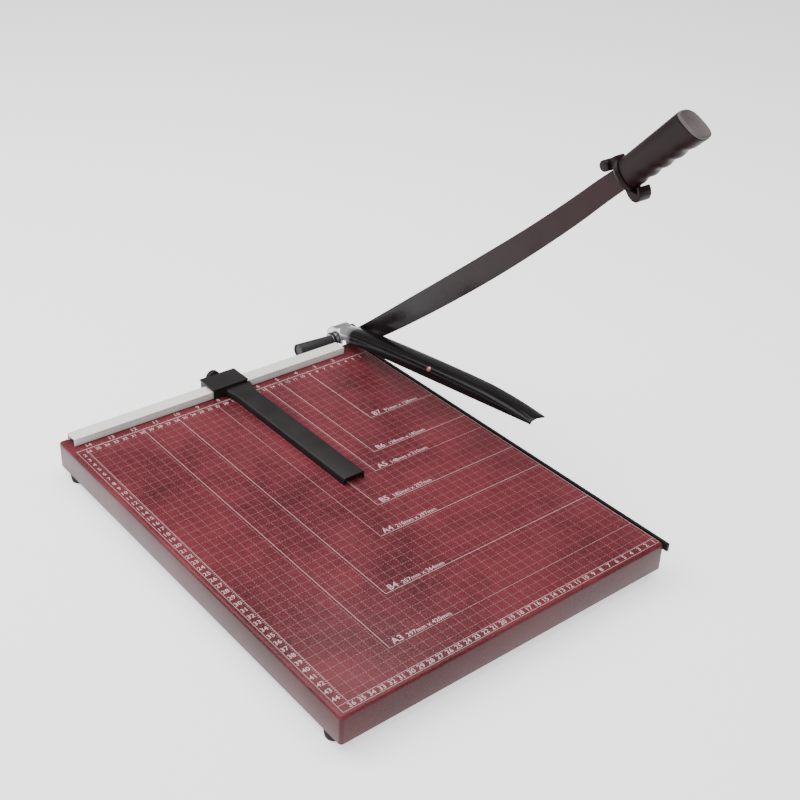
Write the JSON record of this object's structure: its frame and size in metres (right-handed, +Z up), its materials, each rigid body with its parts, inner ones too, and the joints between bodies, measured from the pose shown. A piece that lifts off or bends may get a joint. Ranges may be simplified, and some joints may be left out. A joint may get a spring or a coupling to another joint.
{
  "type": "guillotine paper cutter",
  "caption": "Desktop guillotine paper cutter: enamelled bed with a fence, hinged blade with a handle, swinging paper clamp and sliding paper stop.",
  "frame": {"origin": "on the surface the cutter stands on, under the centre of its bounding box at rest", "axes": "+Z up; +X across the bed towards the cutting edge; +Y to the back, where the fence and the pivot are"},
  "size_m": [0.3912, 0.5055, 0.4333],
  "materials": {
    "pan_enamel": "glossy maroon stove enamel",
    "fence_paint": "satin ivory paint",
    "knife_steel": "oiled black steel",
    "zinc_steel": "bright zinc plate",
    "spring_steel": "drawn spring wire",
    "bracket_steel": "black paint",
    "cover_enamel": "satin black paint",
    "cap_plastic": "matt moulded",
    "foot_rubber": "matt",
    "blade_steel": "gloss black hardened steel",
    "grip_plastic": "semi-gloss moulded",
    "butt_plastic": "satin grey",
    "clamp_enamel": "gloss black enamel",
    "rivet_metal": "coppered steel",
    "stop_plastic": "satin moulded",
    "knob_plastic": "satin moulded"
  },
  "bodies": {
    "base": {"base_pan": "pan_enamel", "bed_rib_1": "pan_enamel", "bed_rib_2": "pan_enamel", "corner_plate_1": "pan_enamel", "corner_plate_2": "pan_enamel", "corner_plate_3": "pan_enamel", "corner_plate_4": "pan_enamel", "fence_bar": "fence_paint", "bed_knife": "knife_steel", "knife_screw_1": "knife_steel", "knife_screw_2": "knife_steel", "knife_screw_3": "knife_steel", "knife_backing_bar": "zinc_steel", "fence_nut_1": "zinc_steel", "fence_nut_2": "zinc_steel", "fence_screw_1": "zinc_steel", "fence_screw_2": "zinc_steel", "foot_screw_1": "zinc_steel", "foot_screw_2": "zinc_steel", "foot_screw_3": "zinc_steel", "foot_screw_4": "zinc_steel", "bracket_backing_plate": "zinc_steel", "bracket_screw_1": "zinc_steel", "bracket_screw_2": "zinc_steel", "pivot_bolt": "zinc_steel", "bolt_washer": "zinc_steel", "clamp_washer": "zinc_steel", "cover_washer": "zinc_steel", "spring_seat": "zinc_steel", "lock_nut": "zinc_steel", "tension_spring": "spring_steel", "pivot_bracket": "bracket_steel", "spring_cover": "cover_enamel", "spring_cover_cap": "cap_plastic", "foot_1": "foot_rubber", "foot_2": "foot_rubber", "foot_3": "foot_rubber", "foot_4": "foot_rubber"},
    "blade_arm": {"blade": "blade_steel", "blade_bush": "zinc_steel", "handle_guard": "grip_plastic", "handle_grip": "grip_plastic", "butt_cap": "butt_plastic", "grip_pin_1": "zinc_steel", "grip_pin_2": "zinc_steel"},
    "paper_clamp": {"clamp_bar": "clamp_enamel", "clamp_sleeve": "zinc_steel", "clamp_rivet": "rivet_metal"},
    "paper_stop": {"stop_arm": "stop_plastic", "stop_cap": "stop_plastic", "stop_shoe": "zinc_steel"},
    "stop_knob": {"stop_knob": "knob_plastic", "knob_stud": "zinc_steel"}
  },
  "joints": [
    {"name": "blade_swing", "type": "hinge", "parent": "base", "child": "blade_arm", "pos_m": [0.18157, 0.23755, 0.0448], "axis": [-1, 0, 0], "range_deg": [-41, 40]},
    {"name": "clamp_swing", "type": "hinge", "parent": "base", "child": "paper_clamp", "pos_m": [0.18157, 0.23755, 0.0448], "axis": [-1, 0, 0], "range_deg": [-9.2, 30]},
    {"name": "stop_slide", "type": "slide", "parent": "base", "child": "paper_stop", "axis": [1, 0, 0], "range_m": [-0.16, 0.084]},
    {"name": "knob_turn", "type": "hinge", "parent": "paper_stop", "child": "stop_knob", "pos_m": [-0.00543, 0.24055, 0.0453], "axis": [0, 1, 0], "range_deg": [-90, 90]}
  ]
}
